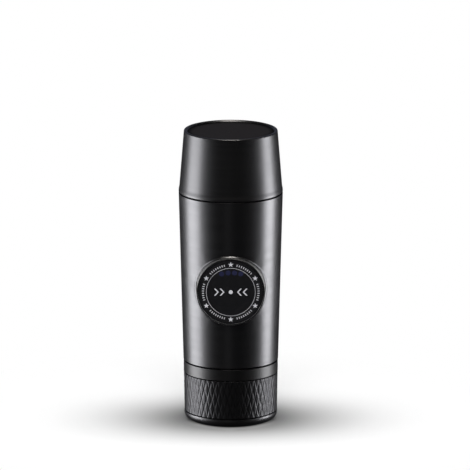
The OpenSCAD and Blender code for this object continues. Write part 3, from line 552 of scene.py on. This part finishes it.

# springs: a round wire carried along a helix; the axis is 1 for Y and 2 for Z, sizes in mm
springFacts = dict(perTurn=40, sides=14, point=0.02, springs=(
    dict(node="return_spring", axis=1, turns=7, wire=1.5, pushes="plunger"),
    dict(node="inlet_spring", axis=2, turns=5, wire=0.5, pushes="inlet_ball"),
    dict(node="outlet_spring", axis=2, turns=5, wire=0.5, pushes="outlet_ball"),
))
springs = []
for facts in springFacts["springs"]:
    low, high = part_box(facts["node"])
    along = facts["axis"]
    first, second = (along + 1) % 3, (along + 2) % 3
    middle = (low + high) / 2
    wire = facts["wire"] / 2 * mm
    share = np.linspace(0, 1, facts["turns"] * springFacts["perTurn"] + 1)[:, None]
    theta = fullTurn * facts["turns"] * share
    phi = np.linspace(0, fullTurn, springFacts["sides"], endpoint=False)[None, :]
    thick = wire * np.ones_like(share)
    thick[[0, -1]] = wire * springFacts["point"]  # ends drawn together
    reach = (high[first] - low[first]) / 2 - wire + thick * np.cos(phi)
    length = high[along] - low[along] - 2 * wire
    points = np.empty((*reach.shape, 3))
    points[..., first] = middle[first] + reach * np.cos(theta)
    points[..., second] = middle[second] + reach * np.sin(theta)
    points[..., along] = high[along] - wire - length * share + thick * np.sin(phi)
    spring = gridPiece(facts["node"] + "_wire", points, wrapU=False, wrapV=True)
    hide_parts(facts["node"])
    start, end = middle.copy(), middle.copy()
    start[along], end[along] = high[along], low[along]
    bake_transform(spring)
    springs.append(spring)
print("springs wound")

# drawn stainless steel: bright, finely brushed, soft-edged reflections; brush lines in mm
steelFacts = dict(
    colour="#bfc0c2", roughness=(0.24, 0.4), brushLength=8.0, brushWidth=0.4, detail=2.0,
    on=("outlet_screen", "capsule_basket", "needle_plate", "pump_cylinder", "inlet_filter", "inlet_ball",
        "outlet_ball", "plunger_screw", "frame_screws"),
)
facts = steelFacts
steel, tree, shader = newMaterial(
    "stainless steel, brushed", facts["colour"], facts["roughness"][0], metallic=1.0)
place = addNode(tree, "ShaderNodeTexCoord")
brushed = addNode(tree, "ShaderNodeMapping", {
    "Vector": place.outputs["Object"],
    "Scale": [1 / (size * mm) for size in (facts["brushLength"], facts["brushLength"], facts["brushWidth"])],
})
lines = addNode(tree, "ShaderNodeTexNoise", {
    "Vector": brushed.outputs[0], "Scale": 1.0, "Detail": facts["detail"],
})
rough = addNode(tree, "ShaderNodeMapRange", {
    "Value": lines.outputs["Fac"], "To Min": facts["roughness"][0], "To Max": facts["roughness"][1],
})
tree.links.new(rough.outputs[0], shader.inputs["Roughness"])
dress(steel, *springs, *(nodes[name] for name in facts["on"]))

# black ABS, matt mould: the flat disc in the cup's foot, with painted shade: its colour darker towards the
# corner under the rim;
# the shade grows between two distances in mm from the disc's edge
discFacts = dict(colour="#1d1b1c", shade="#050505", roughness=0.7, specular=0.05, fade=(5.0, 1.8))
facts = discFacts
matted, tree, shader = newMaterial(
    "black ABS, matt moulded", facts["colour"], facts["roughness"], Specular_IOR_Level=facts["specular"])
fadeStart, fadeEnd = (discTop.x - distance * mm for distance in facts["fade"])
place = addNode(tree, "ShaderNodeTexCoord")
level = addNode(tree, "ShaderNodeVectorMath", {
    0: place.outputs["Object"], 1: (1, 1, 0),
}, operation="MULTIPLY")
outward = addNode(tree, "ShaderNodeVectorMath", {0: level.outputs[0]}, operation="LENGTH")
shaded = addNode(tree, "ShaderNodeMapRange", {
    "Value": outward.outputs["Value"], "From Min": fadeStart, "From Max": fadeEnd,
})
skin = addNode(tree, "ShaderNodeMix", {
    "Factor": shaded.outputs[0], 6: linear(facts["colour"]), 7: linear(facts["shade"]),
}, data_type="RGBA")
tree.links.new(skin.outputs[2], shader.inputs["Base Color"])
dress(matted, nodes["cup_base_disc"])

# even finishes with no pattern, each with the nodes it is on
evenFacts = (
    # black ABS, gloss moulded: deep black with a faint bloom at grazing angles, the button's cap
    dict(name="black ABS, gloss moulded", colour="#121214", roughness=0.4, IOR=1.45,
         Sheen_Weight=0.5, Sheen_Roughness=0.3, on=("button_cap",)),
    # black acrylic label, printed: flat and even, a thin satin skin over near-black
    dict(name="black acrylic label", colour="#0d0d10", roughness=0.38, IOR=1.49, on=("button_face",)),
    # turned brass: warm yellow metal, lightly dulled
    dict(name="brass, turned", colour="#c8a35c", roughness=0.3, metallic=1.0,
         on=("channel_plug", "outlet_seat", "valve_cap")),
    # black polypropylene, spark-finished mould: even and soft, the cup's inside
    dict(name="black polypropylene, satin moulded", colour="#2a2a2c", roughness=0.45, on=("cup_liner",)),
    # glass-filled nylon: black, faintly grey where it catches light
    dict(name="glass-filled nylon, black", colour="#242426", roughness=0.5,
         on=("brew_chamber", "pump_housing", "tank_socket", "outlet_head", "spout")),
    # smoked copolyester: dark and half clear, its mould lightly frosted so that reflections stay soft
    dict(name="smoked copolyester, lightly frosted", colour="#4b4f53", roughness=0.32, IOR=1.57,
         Transmission_Weight=0.5, on=("water_tank",)),
    # moulded silicone: milky, dull, a little light goes through it
    dict(name="silicone, moulded", colour="#cfccc6", roughness=0.55, Subsurface_Weight=0.1,
         on=("head_gasket", "basket_gasket", "vent_valve")),
    # nitrile rubber: dead black and dull
    dict(name="nitrile rubber, black", colour="#1d1d1d", roughness=0.75,
         on=("cup_seal", "cylinder_seal", "plunger_seal", "valve_block_seals", "tank_seal", "foot_pad")),
    # white acetal: smooth, slightly waxy
    dict(name="white acetal, moulded", colour="#e2e1dc", roughness=0.35, IOR=1.48,
         on=("valve_block", "plunger")),
)
for facts in evenFacts:
    names = facts.pop("on")
    even, tree, shader = newMaterial(**facts)
    dress(even, *(nodes[name] for name in names))
print("pieces dressed")
